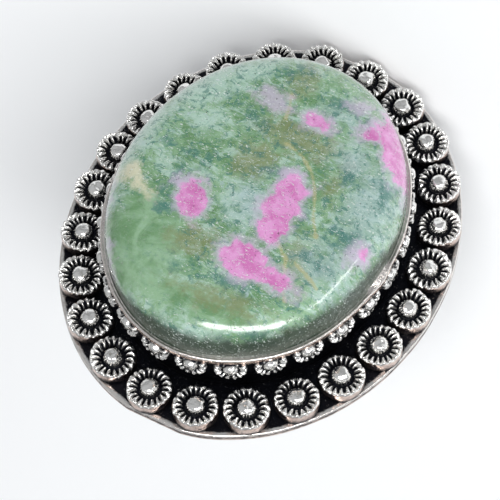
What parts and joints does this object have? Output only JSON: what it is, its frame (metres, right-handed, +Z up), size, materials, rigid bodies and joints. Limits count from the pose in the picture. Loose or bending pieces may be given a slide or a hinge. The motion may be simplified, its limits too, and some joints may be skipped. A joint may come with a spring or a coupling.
{
  "type": "ring with ruby in fuchsite cabochon",
  "caption": "Large silver finger ring: an oval ruby in fuchsite cabochon in a bezel, on a plate edged with round rosettes, with a plain half-round hoop.",
  "frame": {"origin": "middle of the ring's box, on the surface that it lies on", "axes": "+Z up; the ring lies on its plate's rim and its hoop, with the stone's face turned up and towards -Y; X is along the stone's short axis"},
  "size_m": [0.0292, 0.0286, 0.0275],
  "materials": {
    "fuchsite": "polished",
    "silver": "polished by hand",
    "oxidised_silver": "oxidised black, ridges rubbed bright"
  },
  "bodies": {
    "root": {"stone": "fuchsite", "bezel": "silver", "gallery_strip": "oxidised_silver", "base_plate": "oxidised_silver", "rosette_01": "oxidised_silver", "rosette_02": "oxidised_silver", "rosette_03": "oxidised_silver", "rosette_04": "oxidised_silver", "rosette_05": "oxidised_silver", "rosette_06": "oxidised_silver", "rosette_07": "oxidised_silver", "rosette_08": "oxidised_silver", "rosette_09": "oxidised_silver", "rosette_10": "oxidised_silver", "rosette_11": "oxidised_silver", "rosette_12": "oxidised_silver", "rosette_13": "oxidised_silver", "rosette_14": "oxidised_silver", "rosette_15": "oxidised_silver", "rosette_16": "oxidised_silver", "rosette_17": "oxidised_silver", "rosette_18": "oxidised_silver", "rosette_19": "oxidised_silver", "rosette_20": "oxidised_silver", "rosette_21": "oxidised_silver", "rosette_22": "oxidised_silver", "rosette_23": "oxidised_silver", "rosette_24": "oxidised_silver", "shank": "silver"}
  },
  "joints": []
}
